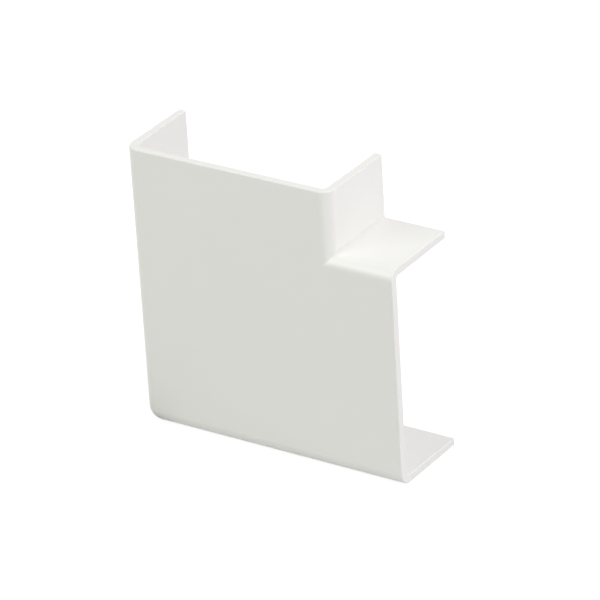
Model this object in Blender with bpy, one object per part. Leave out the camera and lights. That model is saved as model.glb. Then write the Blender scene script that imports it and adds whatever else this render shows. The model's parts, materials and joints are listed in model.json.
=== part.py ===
"""Flat angle for 40 x 16 mm mini trunking: a moulded cover for a bend that stays flat on the wall.

It is one thin-walled plastic moulding, an L in plan, open at the back and at the end of each arm.
A cavity block gives the outside and a tapered core gives the inside, as in its mould.
The face looks along -Y and the open back along +Y. The part stands on its bottom wall at Z = 0.
The origin is at the bottom centre of its overall box. Lengths are in metres.
"""

import math

import bmesh
import bpy

# The trunking that the two arms slide over
TRUNKING_WIDTH = 0.040
TRUNKING_HEIGHT = 0.016
SIDE_CLEARANCE = 0.0002
LID_CLEARANCE = 0.0006

# The moulding
WALL = 0.0016
ARM_REACH = 0.0125
EDGE_RADIUS = 0.0028
NOTCH_EDGE_RADIUS = 0.0022
FACE_CORNER_RADIUS = 0.0003
INSIDE_NOTCH_RADIUS = 0.0005
SMALLEST_FILLET = 0.0003
CORE_DRAFT = math.radians(0.5)

# Facets in a quarter turn
CORNER_SEGMENTS = 12
EDGE_SEGMENTS = 8
FILLET_SEGMENTS = 6
NOTCH_SEGMENTS = 4

# Finish
PLASTIC_WHITE = (0.871, 0.879, 0.836, 1.0)
PLASTIC_ROUGHNESS = 0.38

# Overall sizes that follow from the trunking
ARM_WIDTH = TRUNKING_WIDTH + 2 * (SIDE_CLEARANCE + WALL)
LENGTH = ARM_WIDTH + ARM_REACH
DEPTH = TRUNKING_HEIGHT + LID_CLEARANCE + WALL

# Radii that follow from the outer edges and the wall
OUTER_CORNER_RADIUS = EDGE_RADIUS + FACE_CORNER_RADIUS
INNER_FILLET = max(EDGE_RADIUS - WALL, SMALLEST_FILLET)
INNER_NOTCH_FILLET = max(NOTCH_EDGE_RADIUS - WALL, SMALLEST_FILLET)
INNER_CORNER_RADIUS = INNER_FILLET + FACE_CORNER_RADIUS

# Planes of the part
LEFT = -LENGTH / 2
RIGHT = LENGTH / 2
BOTTOM = 0.0
TOP = LENGTH
FRONT = -DEPTH / 2
BACK = DEPTH / 2
PLATE_BACK = FRONT + WALL

# How far the core runs past the open ends and the open back
CORE_OVERRUN = 2 * WALL


def quarter_arc(centre_x, centre_z, radius, start_degrees, turn_degrees, segments):
    """Points of a quarter circle in plan, both ends included."""
    points = []
    for step in range(segments + 1):
        angle = math.radians(start_degrees + turn_degrees * step / segments)
        points.append((centre_x + radius * math.cos(angle), centre_z + radius * math.sin(angle)))
    return points


def l_outline(inset, overrun, corner_radius, notch_radius):
    """The L in plan, anticlockwise from the front.

    It lies inset inside the outer faces and runs overrun past both open ends.
    The outer corner is round. The corner of the notch is sharp where notch_radius is zero.
    """
    left = LEFT + inset
    bottom = BOTTOM + inset
    notch_x = LEFT + ARM_WIDTH - inset
    notch_z = BOTTOM + ARM_WIDTH - inset
    right = RIGHT + overrun
    top = TOP + overrun

    notch = [(notch_x, notch_z)]
    if notch_radius > 0:
        centre_x = notch_x + notch_radius
        centre_z = notch_z + notch_radius
        notch = quarter_arc(centre_x, centre_z, notch_radius, 270, -90, NOTCH_SEGMENTS)
    corner = quarter_arc(
        left + corner_radius, bottom + corner_radius, corner_radius, 180, 90, CORNER_SEGMENTS)
    return [(right, bottom), (right, notch_z)] + notch + [(notch_x, top), (left, top)] + corner


def lofted_block(front_outline, front_y, back_outline, back_y):
    """A closed block between two outlines with the same number of points."""
    block = bmesh.new()
    front = [block.verts.new((x, front_y, z)) for x, z in front_outline]
    back = [block.verts.new((x, back_y, z)) for x, z in back_outline]
    block.faces.new(front)
    block.faces.new(list(reversed(back)))
    count = len(front)
    for i in range(count):
        following = (i + 1) % count
        block.faces.new((front[following], front[i], back[i], back[following]))
    block.normal_update()
    return block


def round_front_edges(block, front_y, overrun, radius, notch_radius, segments):
    """Round the front edges that run along the walls, and leave those across the open ends."""
    tolerance = WALL / 1000
    right = RIGHT + overrun
    top = TOP + overrun

    def across_an_open_end(edge):
        at_right = all(abs(v.co.x - right) < tolerance for v in edge.verts)
        at_top = all(abs(v.co.z - top) < tolerance for v in edge.verts)
        return at_right or at_top

    def beside_the_notch(edge):
        return all(v.co.x > LEFT + ARM_WIDTH / 2 and v.co.z > BOTTOM + ARM_WIDTH / 2 for v in edge.verts)

    for at_notch, size in ((True, notch_radius), (False, radius)):
        front_edges = [e for e in block.edges if all(abs(v.co.y - front_y) < tolerance for v in e.verts)]
        wall_edges = [e for e in front_edges if not across_an_open_end(e) and beside_the_notch(e) == at_notch]
        bmesh.ops.bevel(
            block, geom=wall_edges, offset=size, offset_type='OFFSET', affect='EDGES',
            segments=segments, profile=0.5, clamp_overlap=False)


def object_from(block, name):
    """Turn a finished block into an object in the scene."""
    mesh = bpy.data.meshes.new(name)
    block.to_mesh(mesh)
    block.free()
    mesh.shade_smooth()
    mesh.set_sharp_from_angle(angle=math.radians(30))
    piece = bpy.data.objects.new(name, mesh)
    bpy.context.scene.collection.objects.link(piece)
    return piece


def make_cavity_block():
    """The outside of the moulding as a solid L with rounded front edges."""
    outline = l_outline(0, 0, OUTER_CORNER_RADIUS, 0)
    block = lofted_block(outline, FRONT, outline, BACK)
    round_front_edges(block, FRONT, 0, EDGE_RADIUS, NOTCH_EDGE_RADIUS, EDGE_SEGMENTS)
    return object_from(block, "flat_angle")


def make_core():
    """The inside of the moulding, wider towards the open back so that the part draws off it."""
    core_back = BACK + CORE_OVERRUN
    back_inset = WALL - (core_back - PLATE_BACK) * math.tan(CORE_DRAFT)
    back_radius = INNER_CORNER_RADIUS + WALL - back_inset
    front_outline = l_outline(WALL, CORE_OVERRUN, INNER_CORNER_RADIUS, INSIDE_NOTCH_RADIUS)
    back_outline = l_outline(back_inset, CORE_OVERRUN, back_radius, INSIDE_NOTCH_RADIUS)
    block = lofted_block(front_outline, PLATE_BACK, back_outline, core_back)
    round_front_edges(block, PLATE_BACK, CORE_OVERRUN, INNER_FILLET, INNER_NOTCH_FILLET, FILLET_SEGMENTS)
    core = object_from(block, "core")
    core.hide_render = True
    core.display_type = 'WIRE'
    return core


def hollow_out(piece, core):
    """Take the core out of the piece, which leaves the plate and its walls."""
    cut = piece.modifiers.new("hollow", 'BOOLEAN')
    cut.operation = 'DIFFERENCE'
    cut.solver = 'EXACT'
    cut.object = core


def white_plastic():
    """Off-white moulded PVC with a satin surface."""
    material = bpy.data.materials.new("white_plastic")
    material.use_nodes = True
    shader = material.node_tree.nodes["Principled BSDF"]
    shader.inputs["Base Color"].default_value = PLASTIC_WHITE
    shader.inputs["Roughness"].default_value = PLASTIC_ROUGHNESS
    shader.inputs["Metallic"].default_value = 0.0
    return material


def main():
    for old in list(bpy.data.objects):
        bpy.data.objects.remove(old, do_unlink=True)
    flat_angle = make_cavity_block()
    flat_angle.data.materials.append(white_plastic())
    hollow_out(flat_angle, make_core())


main()
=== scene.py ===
import json
import math

import bpy
from mathutils import Euler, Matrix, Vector


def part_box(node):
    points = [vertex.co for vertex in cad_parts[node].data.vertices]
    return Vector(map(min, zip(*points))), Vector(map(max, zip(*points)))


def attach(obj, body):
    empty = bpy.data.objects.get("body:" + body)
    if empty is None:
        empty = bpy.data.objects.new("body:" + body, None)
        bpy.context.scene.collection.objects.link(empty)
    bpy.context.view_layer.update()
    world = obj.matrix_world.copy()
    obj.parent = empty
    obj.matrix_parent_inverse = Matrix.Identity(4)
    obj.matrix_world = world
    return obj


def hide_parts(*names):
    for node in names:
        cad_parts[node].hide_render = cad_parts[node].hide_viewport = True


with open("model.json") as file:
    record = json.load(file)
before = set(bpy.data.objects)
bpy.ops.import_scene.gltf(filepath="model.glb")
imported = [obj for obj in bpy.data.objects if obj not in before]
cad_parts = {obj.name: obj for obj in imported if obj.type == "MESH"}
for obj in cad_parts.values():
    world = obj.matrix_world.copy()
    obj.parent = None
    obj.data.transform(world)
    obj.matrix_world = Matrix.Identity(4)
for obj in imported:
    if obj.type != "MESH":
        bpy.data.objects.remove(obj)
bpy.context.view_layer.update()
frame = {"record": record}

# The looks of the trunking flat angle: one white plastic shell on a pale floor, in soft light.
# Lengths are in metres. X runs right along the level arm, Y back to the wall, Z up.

# Sizes of the moulding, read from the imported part
low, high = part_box("flat_angle")
mounts = {mount["name"]: mount for mount in frame["record"]["mounts"]}
seat = mounts["lid_seat_upright_arm"]["pos_m"]
LENGTH = high.x - low.x
DEPTH = high.y - low.y
WALL = seat[1] - low.y
ARM_WIDTH = 2 * (seat[0] - low.x)
CORE_DRAFT = math.asin(mounts["grip_left"]["axis"][1])

# Radii of the moulding
EDGE_RADIUS = 0.0028
NOTCH_EDGE_RADIUS = 0.0022
FACE_CORNER_RADIUS = 0.0003
INSIDE_NOTCH_RADIUS = 0.0005
NOTCH_CORNER_RADIUS = 0.00006
RIM_RADIUS = 0.0002
END_RADIUS = 0.00015

# Marks that the ejector pins and the gate leave on the inside of the plate
PIN_RADIUS = 0.002
PIN_MARGIN = 0.0075
GATE_RADIUS = 0.0009
MARK_DEPTH = 0.00006
MARK_SIDES = 48

# Steps in each rounding, and the distance within which points are joined
EDGE_STEPS = 16
RIM_STEPS = 4
BEND_STEPS = 32
END_STEPS = 4
MERGE_DISTANCE = 0.000002
SHARP_ANGLE = 40

# Finish of the plastic: its two whites, the painted shade along the crease of the notch, its roughness and
# its relief
COOL_WHITE = (0.838, 0.837, 0.812, 1.0)
WARM_WHITE = (0.848, 0.841, 0.815, 1.0)
TINT_SIZE = 0.030
# Painted shade in the crease of the notch: a darker white, and how far from the crease it fades out
CREASE_PAINTED_SHADE = (0.795, 0.792, 0.766, 1.0)
CREASE_SHADE_RADIUS = 0.0010
SMOOTHEST = 0.36
ROUGHEST = 0.42
INSIDE_ROUGHER_BY = 0.10
GRAIN_SIZE = 0.00018
GRAIN_DEPTH = 0.000003
WAVE_SIZE = 0.009
WAVE_DEPTH = 0.000012
NOISE_DETAIL = 2.0

# The backdrop, and the floor: its width, the grey that lights the part, and the grey and glow that are seen
BACKDROP_WHITE = (1.0, 1.0, 1.0, 1.0)
FLOOR_SIZE = 4.0
FLOOR_GREY = (0.60, 0.60, 0.60, 1.0)
FLOOR_SEEN_GREY = (0.30, 0.30, 0.30, 1.0)
FLOOR_GLOW = 0.85

# Painted shadow on the floor: a black spot just outside the part's lower left corner, which gives no light
# back to it
SHADE_MARGIN = 0.001
SHADE_RADIUS = 0.010
SHADE_BLACK = (0.0, 0.0, 0.0, 1.0)

# Light on the part: the room's even light, and soft lamps as azimuth, elevation, watts and colour
ROOM_LIGHT = 0.355
LAMP_DISTANCE = 1.2
LAMP_WIDTH = 0.7
LAMPS = {
    "front": (330, 30, 5.55, (0.958, 1.0, 0.905)),
    "right": (90, 45, 10.1, (0.975, 0.962, 0.988)),
    "back": (180, 20, 1.5, (1.0, 1.0, 1.0)),
}

# The photograph's viewpoint, in degrees and metres, and the camera's lens and reach
VIEW_AZIMUTH = 34.30
VIEW_ELEVATION = 27.14
VIEW_ROLL = -3.56
VIEW_DISTANCE = 0.846
VIEW_TARGET = (0.00165, 0.00076, 0.02747)
LENS_MM = 280.25
SENSOR_MM = 36
NEAREST_SEEN = 0.05
FARTHEST_SEEN = 20


class Field:
    """A node's output that can be used in plain arithmetic, where each step adds a Math node."""

    def __init__(self, tree, output):
        self.tree = tree
        self.output = output

    def __add__(self, other):
        return calculate(self.tree, 'ADD', self, other)

    def __radd__(self, other):
        return calculate(self.tree, 'ADD', other, self)

    def __sub__(self, other):
        return calculate(self.tree, 'SUBTRACT', self, other)

    def __rsub__(self, other):
        return calculate(self.tree, 'SUBTRACT', other, self)

    def __mul__(self, other):
        return calculate(self.tree, 'MULTIPLY', self, other)

    def __rmul__(self, other):
        return calculate(self.tree, 'MULTIPLY', other, self)

    def __truediv__(self, other):
        return calculate(self.tree, 'DIVIDE', self, other)

    def __gt__(self, other):
        return calculate(self.tree, 'GREATER_THAN', self, other)

    def __lt__(self, other):
        return calculate(self.tree, 'LESS_THAN', self, other)


def plug(tree, value, socket):
    """Feed a socket from a field, or set it to a plain value."""
    if isinstance(value, Field):
        tree.links.new(value.output, socket)
    else:
        socket.default_value = value


def add(tree, kind, inputs=None, output=0, **settings):
    """Add a node with its settings, feed its inputs by name or number, and return one output."""
    node = tree.nodes.new(kind)
    for name, value in settings.items():
        setattr(node, name, value)
    for key, value in (inputs or {}).items():
        plug(tree, value, node.inputs[key])
    return Field(tree, node.outputs[output])


def calculate(tree, operation, *values):
    """One step of arithmetic on fields and plain numbers."""
    return add(tree, "ShaderNodeMath", dict(enumerate(values)), operation=operation)


def vector(tree, x, y, z):
    """A vector field from fields or plain numbers."""
    return add(tree, "ShaderNodeCombineXYZ", {0: x, 1: y, 2: z})


def parts_of(tree, field):
    """The X, Y and Z of a vector field."""
    node = tree.nodes.new("ShaderNodeSeparateXYZ")
    plug(tree, field, node.inputs[0])
    return [Field(tree, output) for output in node.outputs]


def choose(tree, condition, where_false, where_true):
    """One of two numbers, by a condition that is 0 or 1."""
    return where_false + (where_true - where_false) * condition


def pick_by_index(tree, data_type, values):
    """A field with one of the values for each point, in the order of the points."""
    node = tree.nodes.new("GeometryNodeIndexSwitch")
    node.data_type = data_type
    while len(node.index_switch_items) < len(values):
        node.index_switch_items.new()
    plug(tree, add(tree, "GeometryNodeInputIndex"), node.inputs[0])
    for number, value in enumerate(values):
        plug(tree, value, node.inputs[number + 1])
    return Field(tree, node.outputs[0])


def capture(tree, geometry, data_type, field):
    """Keep a field on the points of a geometry, so that later nodes can still read it."""
    node = tree.nodes.new("GeometryNodeCaptureAttribute")
    node.capture_items.new(data_type, "kept")
    plug(tree, geometry, node.inputs[0])
    plug(tree, field, node.inputs[1])
    return Field(tree, node.outputs[0]), Field(tree, node.outputs[1])


def section_curve(tree, size):
    """The U of an open end, drawn flat: X across the arm from the outer wall, Y back from the face.

    It also returns a field that is 1 on the inside of the moulding and 0 on the outside.
    """
    width, depth, wall = size["Arm Width"], size["Depth"], size["Wall"]
    rim, edge, notch_edge = size["Rim Radius"], size["Edge Radius"], size["Notch Edge Radius"]
    fillet = edge - wall
    notch_fillet = notch_edge - wall
    rim_wall = wall - (depth - wall) * calculate(tree, 'TANGENT', size["Core Draft"])
    corners = [
        (0.0, depth, rim),
        (0.0, 0.0, edge),
        (width, 0.0, notch_edge),
        (width, depth, rim),
        (width - rim_wall, depth, rim),
        (width - wall, wall, notch_fillet),
        (wall, wall, fillet),
        (rim_wall, depth, rim),
    ]
    outside_corners = 4
    steps = [RIM_STEPS if radius is rim else EDGE_STEPS for x, y, radius in corners]

    curve = add(tree, "GeometryNodeCurvePrimitiveCircle", {"Resolution": len(corners)})
    places = [vector(tree, x, y, 0.0) for x, y, radius in corners]
    curve = add(tree, "GeometryNodeSetPosition", {
        "Geometry": curve,
        "Position": pick_by_index(tree, 'VECTOR', places),
    })
    inside = add(tree, "GeometryNodeInputIndex") > outside_corners - 0.5
    curve, inside = capture(tree, curve, 'FLOAT', inside)
    curve = add(tree, "GeometryNodeFilletCurve", {
        "Curve": curve,
        "Count": pick_by_index(tree, 'INT', steps),
        "Radius": pick_by_index(tree, 'FLOAT', [radius for x, y, radius in corners]),
    }, mode='POLY')
    return curve, inside


def swept_place(tree, size, place, tangent, inside, station):
    """Where a point of the section lies at a station of the sweep.

    The stations run down the upright arm, round the bend and out along the level arm. At the bend
    each point turns about a centre of its own on the diagonal. At an open end the section shrinks
    over the last few stations, which rounds the end's edges.
    """
    length, width, wall = size["Length"], size["Arm Width"], size["Wall"]
    end_radius = size["End Radius"]
    quarter = math.pi / 2

    from_middle = station - (BEND_STEPS / 2 + END_STEPS + 1)
    steps_out = calculate(tree, 'ABSOLUTE', from_middle)
    on_arm = steps_out > BEND_STEPS / 2 + 0.5
    upright = on_arm * (from_middle < 0.0)
    level = on_arm * (from_middle > 0.0)
    bend = calculate(tree, 'MAXIMUM', 0.0, calculate(tree, 'MINIMUM', 1.0, from_middle / BEND_STEPS + 0.5))
    turn = bend * quarter
    end_turn = calculate(tree, 'MAXIMUM', 0.0, steps_out - (BEND_STEPS / 2 + 1)) * (quarter / END_STEPS)

    place_x, place_y, _ = parts_of(tree, place)
    tangent_x, tangent_y, _ = parts_of(tree, tangent)
    shrink = end_radius * (1.0 - calculate(tree, 'COSINE', end_turn))
    across = place_x - tangent_y * shrink
    back = place_y + tangent_x * shrink

    notch_side = place_x > width / 2.0
    inset = choose(tree, notch_side, across, width - across)
    outer_centre = size["Edge Radius"] + size["Face Corner Radius"]
    outer_radius = outer_centre - inset
    inner_notch_radius = size["Inside Notch Radius"] + inset - wall
    notch_radius = choose(tree, inside, size["Notch Corner Radius"], inner_notch_radius)
    notch_centre = width - inset + notch_radius
    centre = choose(tree, notch_side, outer_centre, notch_centre)
    radius = choose(tree, notch_side, outer_radius, notch_radius)

    run = length - centre - end_radius * (1.0 - calculate(tree, 'SINE', end_turn))
    x = centre - radius * calculate(tree, 'COSINE', turn) + level * run - length / 2.0
    y = back - size["Depth"] / 2.0
    z = centre - radius * calculate(tree, 'SINE', turn) + upright * run
    return vector(tree, x, y, z)


def mark_cutters(tree, size):
    """Short cylinders that leave the marks of ejector pins and gate in the inside of the plate."""
    margin = size["Pin Margin"]
    far = size["Length"] - margin
    notch = size["Arm Width"] - margin
    half = size["Length"] / 2.0
    plate_back = size["Wall"] - size["Depth"] / 2.0
    crossing = size["Arm Width"] / 2.0
    pin = size["Pin Radius"]
    marks = [
        (margin, margin, pin),
        (margin, far, pin),
        (notch, far, pin),
        (far, margin, pin),
        (far, notch, pin),
        (crossing, crossing, size["Gate Radius"]),
    ]
    unit_cutter = add(tree, "GeometryNodeMeshCylinder", {
        "Vertices": MARK_SIDES,
        "Radius": 1.0,
        "Depth": size["Mark Depth"] * 2.0,
    })
    places = [vector(tree, x - half, plate_back, z) for x, z, _ in marks]
    points = add(tree, "GeometryNodePoints", {
        "Count": len(marks),
        "Position": pick_by_index(tree, 'VECTOR', places),
    })
    radius = pick_by_index(tree, 'FLOAT', [radius for _, _, radius in marks])
    return add(tree, "GeometryNodeInstanceOnPoints", {
        "Points": points,
        "Instance": unit_cutter,
        "Rotation": Euler((math.pi / 2, 0.0, 0.0)),
        "Scale": vector(tree, radius, radius, 1.0),
    })


def moulding_tree(sizes):
    """The geometry node tree of the moulding, with a named input for each of its sizes."""
    tree = bpy.data.node_groups.new("moulded_flat_angle", "GeometryNodeTree")
    for name in sizes:
        tree.interface.new_socket(name, in_out='INPUT', socket_type='NodeSocketFloat')
    tree.interface.new_socket("Plastic", in_out='INPUT', socket_type='NodeSocketMaterial')
    tree.interface.new_socket("Mesh", in_out='OUTPUT', socket_type='NodeSocketGeometry')
    inputs = tree.nodes.new("NodeGroupInput")
    size = {name: Field(tree, inputs.outputs[name]) for name in sizes}

    section, inside = section_curve(tree, size)
    section, place = capture(tree, section, 'VECTOR', add(tree, "GeometryNodeInputPosition"))
    section, tangent = capture(tree, section, 'VECTOR', add(tree, "GeometryNodeInputTangent"))
    path = add(tree, "GeometryNodeResampleCurve", {
        "Curve": add(tree, "GeometryNodeCurvePrimitiveLine"),
        "Count": BEND_STEPS + 1 + 2 * (END_STEPS + 1),
    })
    path, station = capture(tree, path, 'FLOAT', add(tree, "GeometryNodeInputIndex"))
    mesh = add(tree, "GeometryNodeCurveToMesh", {
        "Curve": path,
        "Profile Curve": section,
        "Fill Caps": True,
    })
    mesh = add(tree, "GeometryNodeSetPosition", {
        "Geometry": mesh,
        "Position": swept_place(tree, size, place, tangent, inside, station),
    })
    mesh = add(tree, "GeometryNodeStoreNamedAttribute", {
        "Geometry": mesh,
        "Name": "inside",
        "Value": inside,
    }, data_type='FLOAT', domain='POINT')
    mesh = add(tree, "GeometryNodeMeshBoolean", {
        "Mesh 1": mesh,
        "Mesh 2": mark_cutters(tree, size),
    }, operation='DIFFERENCE', solver='EXACT')
    mesh = add(tree, "GeometryNodeMergeByDistance", {"Geometry": mesh, "Distance": MERGE_DISTANCE})
    mesh = add(tree, "GeometryNodeRealizeInstances", {"Geometry": mesh})
    mesh = add(tree, "GeometryNodeSetMaterial", {
        "Geometry": mesh,
        "Material": Field(tree, inputs.outputs["Plastic"]),
    })
    plug(tree, mesh, tree.nodes.new("NodeGroupOutput").inputs["Mesh"])
    return tree


def set_input(modifier, tree, name, value):
    """Set a modifier's input by the identifier of the socket with that name."""
    for item in tree.interface.items_tree:
        if item.name == name and item.in_out == 'INPUT':
            modifier[item.identifier] = value


def make_moulding(plastic):
    """The whole moulding as a plain mesh, grown by its node tree."""
    sizes = {
        "Length": LENGTH,
        "Arm Width": ARM_WIDTH,
        "Depth": DEPTH,
        "Wall": WALL,
        "Core Draft": CORE_DRAFT,
        "Edge Radius": EDGE_RADIUS,
        "Notch Edge Radius": NOTCH_EDGE_RADIUS,
        "Face Corner Radius": FACE_CORNER_RADIUS,
        "Notch Corner Radius": NOTCH_CORNER_RADIUS,
        "Inside Notch Radius": INSIDE_NOTCH_RADIUS,
        "Rim Radius": RIM_RADIUS,
        "End Radius": END_RADIUS,
        "Pin Radius": PIN_RADIUS,
        "Pin Margin": PIN_MARGIN,
        "Gate Radius": GATE_RADIUS,
        "Mark Depth": MARK_DEPTH,
    }
    tree = moulding_tree(sizes)
    moulding = bpy.data.objects.new("moulding", bpy.data.meshes.new("moulding"))
    bpy.context.scene.collection.objects.link(moulding)
    growth = moulding.modifiers.new("growth", 'NODES')
    growth.node_group = tree
    for name, value in sizes.items():
        set_input(growth, tree, name, value)
    set_input(growth, tree, "Plastic", plastic)

    grown = moulding.evaluated_get(bpy.context.evaluated_depsgraph_get())
    mesh = bpy.data.meshes.new_from_object(grown)
    moulding.modifiers.clear()
    moulding.data = mesh
    mesh.shade_smooth()
    mesh.set_sharp_from_angle(angle=math.radians(SHARP_ANGLE))
    normals = moulding.modifiers.new("flat_faces_stay_flat", 'WEIGHTED_NORMAL')
    normals.keep_sharp = True
    return moulding


def noise(tree, place, size):
    """Smooth random values from 0 to 1, with spots of about the given size."""
    inputs = {"Vector": place, "Scale": 1 / size, "Detail": NOISE_DETAIL}
    return add(tree, "ShaderNodeTexNoise", inputs, output="Fac", noise_dimensions='3D')


def mix_colours(tree, share, first, second):
    """A blend of two colours. Sockets 6 and 7 of the Mix node are its colours."""
    return add(tree, "ShaderNodeMix", {0: share, 6: first, 7: second}, output=2, data_type='RGBA')


def fade_around(tree, place, centre, radius):
    """A share that grows smoothly from 0 at the centre to 1 at the radius."""
    away = add(tree, "ShaderNodeVectorMath", {0: place, 1: centre}, output="Value", operation='DISTANCE')
    reach = {"Value": away, "From Min": 0.0, "From Max": radius}
    return add(tree, "ShaderNodeMapRange", reach, interpolation_type='SMOOTHSTEP')


def make_plastic():
    """Off-white PVC with a satin grain, a slight drift of its tint, and a rougher inside.

    Along the crease of the notch it has painted shade, a darker white.
    """
    material = bpy.data.materials.new("white_plastic")
    material.use_nodes = True
    tree = material.node_tree
    shader = tree.nodes["Principled BSDF"]
    place = add(tree, "ShaderNodeTexCoord", output="Object")

    tint = mix_colours(tree, noise(tree, place, TINT_SIZE), COOL_WHITE, WARM_WHITE)
    x, _, z = parts_of(tree, place)
    # Painted shade: the white turns darker within a millimetre of the notch's crease
    crease = (low.x + ARM_WIDTH, 0.0, low.z + ARM_WIDTH)
    beyond_crease_shade = fade_around(tree, vector(tree, x, 0.0, z), crease, CREASE_SHADE_RADIUS)
    plug(tree, mix_colours(tree, beyond_crease_shade, CREASE_PAINTED_SHADE, tint), shader.inputs["Base Color"])

    inside = add(tree, "ShaderNodeAttribute", output="Fac", attribute_name="inside")
    unevenness = noise(tree, place, WAVE_SIZE) * (ROUGHEST - SMOOTHEST)
    plug(tree, unevenness + SMOOTHEST + inside * INSIDE_ROUGHER_BY, shader.inputs["Roughness"])

    # The relief is in metres already, so the bump keeps its height as it is
    relief = noise(tree, place, GRAIN_SIZE) * GRAIN_DEPTH + noise(tree, place, WAVE_SIZE) * WAVE_DEPTH
    bump = add(tree, "ShaderNodeBump", {"Height": relief, "Distance": 1.0})
    plug(tree, bump, shader.inputs["Normal"])
    return material


def seen_directly(tree):
    """1 for rays from the camera and for mirror-like or see-through rays, 0 for the rest."""
    ray = tree.nodes.new("ShaderNodeLightPath")
    names = ("Is Camera Ray", "Is Glossy Ray", "Is Transmission Ray")
    camera, glossy, see_through = [Field(tree, ray.outputs[name]) for name in names]
    return calculate(tree, 'MAXIMUM', camera, calculate(tree, 'MAXIMUM', glossy, see_through))


def make_floor():
    """A pale floor that looks white and keeps the part's soft shadow.

    Where it is seen directly it shows a glow, and a grey that takes the shadow. What it gives back to the
    part comes from another grey, which fades to a painted shadow, a black spot by the part's lower left
    corner.
    """
    material = bpy.data.materials.new("floor_white")
    material.use_nodes = True
    tree = material.node_tree
    tree.nodes.clear()
    place = add(tree, "ShaderNodeTexCoord", output="Object")
    # Painted shadow: the grey that lights the part fades to black around this spot
    corner = (low.x - SHADE_MARGIN, low.y - SHADE_MARGIN, 0.0)
    grey = mix_colours(tree, fade_around(tree, place, corner, SHADE_RADIUS), SHADE_BLACK, FLOOR_GREY)
    matt = add(tree, "ShaderNodeBsdfDiffuse", {"Color": grey})
    lit = add(tree, "ShaderNodeBsdfDiffuse", {"Color": FLOOR_SEEN_GREY})
    glow = add(tree, "ShaderNodeEmission", {"Color": BACKDROP_WHITE, "Strength": FLOOR_GLOW})
    white = add(tree, "ShaderNodeAddShader", {0: lit, 1: glow})
    surface = add(tree, "ShaderNodeMixShader", {0: seen_directly(tree), 1: matt, 2: white})
    plug(tree, surface, tree.nodes.new("ShaderNodeOutputMaterial").inputs["Surface"])

    half = FLOOR_SIZE / 2
    mesh = bpy.data.meshes.new("floor")
    outline = [(-half, -half, 0), (half, -half, 0), (half, half, 0), (-half, half, 0)]
    mesh.from_pydata(outline, [], [(0, 1, 2, 3)])
    mesh.materials.append(material)
    floor = bpy.data.objects.new("floor", mesh)
    bpy.context.scene.collection.objects.link(floor)


def light_room():
    """A world that looks white and lights the part evenly."""
    world = bpy.data.worlds.new("room")
    world.use_nodes = True
    bpy.context.scene.world = world
    tree = world.node_tree
    background = tree.nodes["Background"]
    background.inputs["Color"].default_value = BACKDROP_WHITE
    strength = choose(tree, seen_directly(tree), ROOM_LIGHT, 1.0)
    plug(tree, strength, background.inputs["Strength"])


def hang_lamp(name, azimuth, elevation, watts, colour):
    """A square soft lamp that shines on the part from that side and isn't seen itself."""
    data = bpy.data.lights.new(name, 'AREA')
    data.energy = watts
    data.color = colour
    data.shape = 'SQUARE'
    data.size = LAMP_WIDTH
    lamp = bpy.data.objects.new(name, data)
    bpy.context.scene.collection.objects.link(lamp)
    lamp.visible_camera = False
    aim(lamp, place_around(VIEW_TARGET, azimuth, elevation, LAMP_DISTANCE), VIEW_TARGET)


def aim(thing, place, target, roll=0.0):
    """Put a lamp or a camera at a place and turn it to look at the target."""
    direction = Vector(target) - Vector(place)
    thing.location = place
    thing.rotation_mode = 'QUATERNION'
    turn = Euler((0.0, 0.0, math.radians(roll))).to_quaternion()
    thing.rotation_quaternion = direction.to_track_quat('-Z', 'Y') @ turn


def place_around(target, azimuth, elevation, distance):
    """A place seen from the target at that azimuth and elevation. Azimuth 0 is in front of the face."""
    a = math.radians(azimuth)
    e = math.radians(elevation)
    out = Vector((math.sin(a) * math.cos(e), -math.cos(a) * math.cos(e), math.sin(e)))
    return Vector(target) + out * distance


def make_camera():
    """The camera at the photograph's viewpoint."""
    data = bpy.data.cameras.new("camera")
    data.lens = LENS_MM
    data.sensor_width = SENSOR_MM
    data.clip_start = NEAREST_SEEN
    data.clip_end = FARTHEST_SEEN
    camera = bpy.data.objects.new("camera", data)
    bpy.context.scene.collection.objects.link(camera)
    viewpoint = place_around(VIEW_TARGET, VIEW_AZIMUTH, VIEW_ELEVATION, VIEW_DISTANCE)
    aim(camera, viewpoint, VIEW_TARGET, VIEW_ROLL)
    bpy.context.scene.camera = camera


make_camera()
make_floor()
light_room()
for lamp_name, placing in LAMPS.items():
    hang_lamp(lamp_name, *placing)

moulding = make_moulding(make_plastic())
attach(moulding, "root")
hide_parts("flat_angle")

bpy.context.scene.view_settings.view_transform = 'Standard'
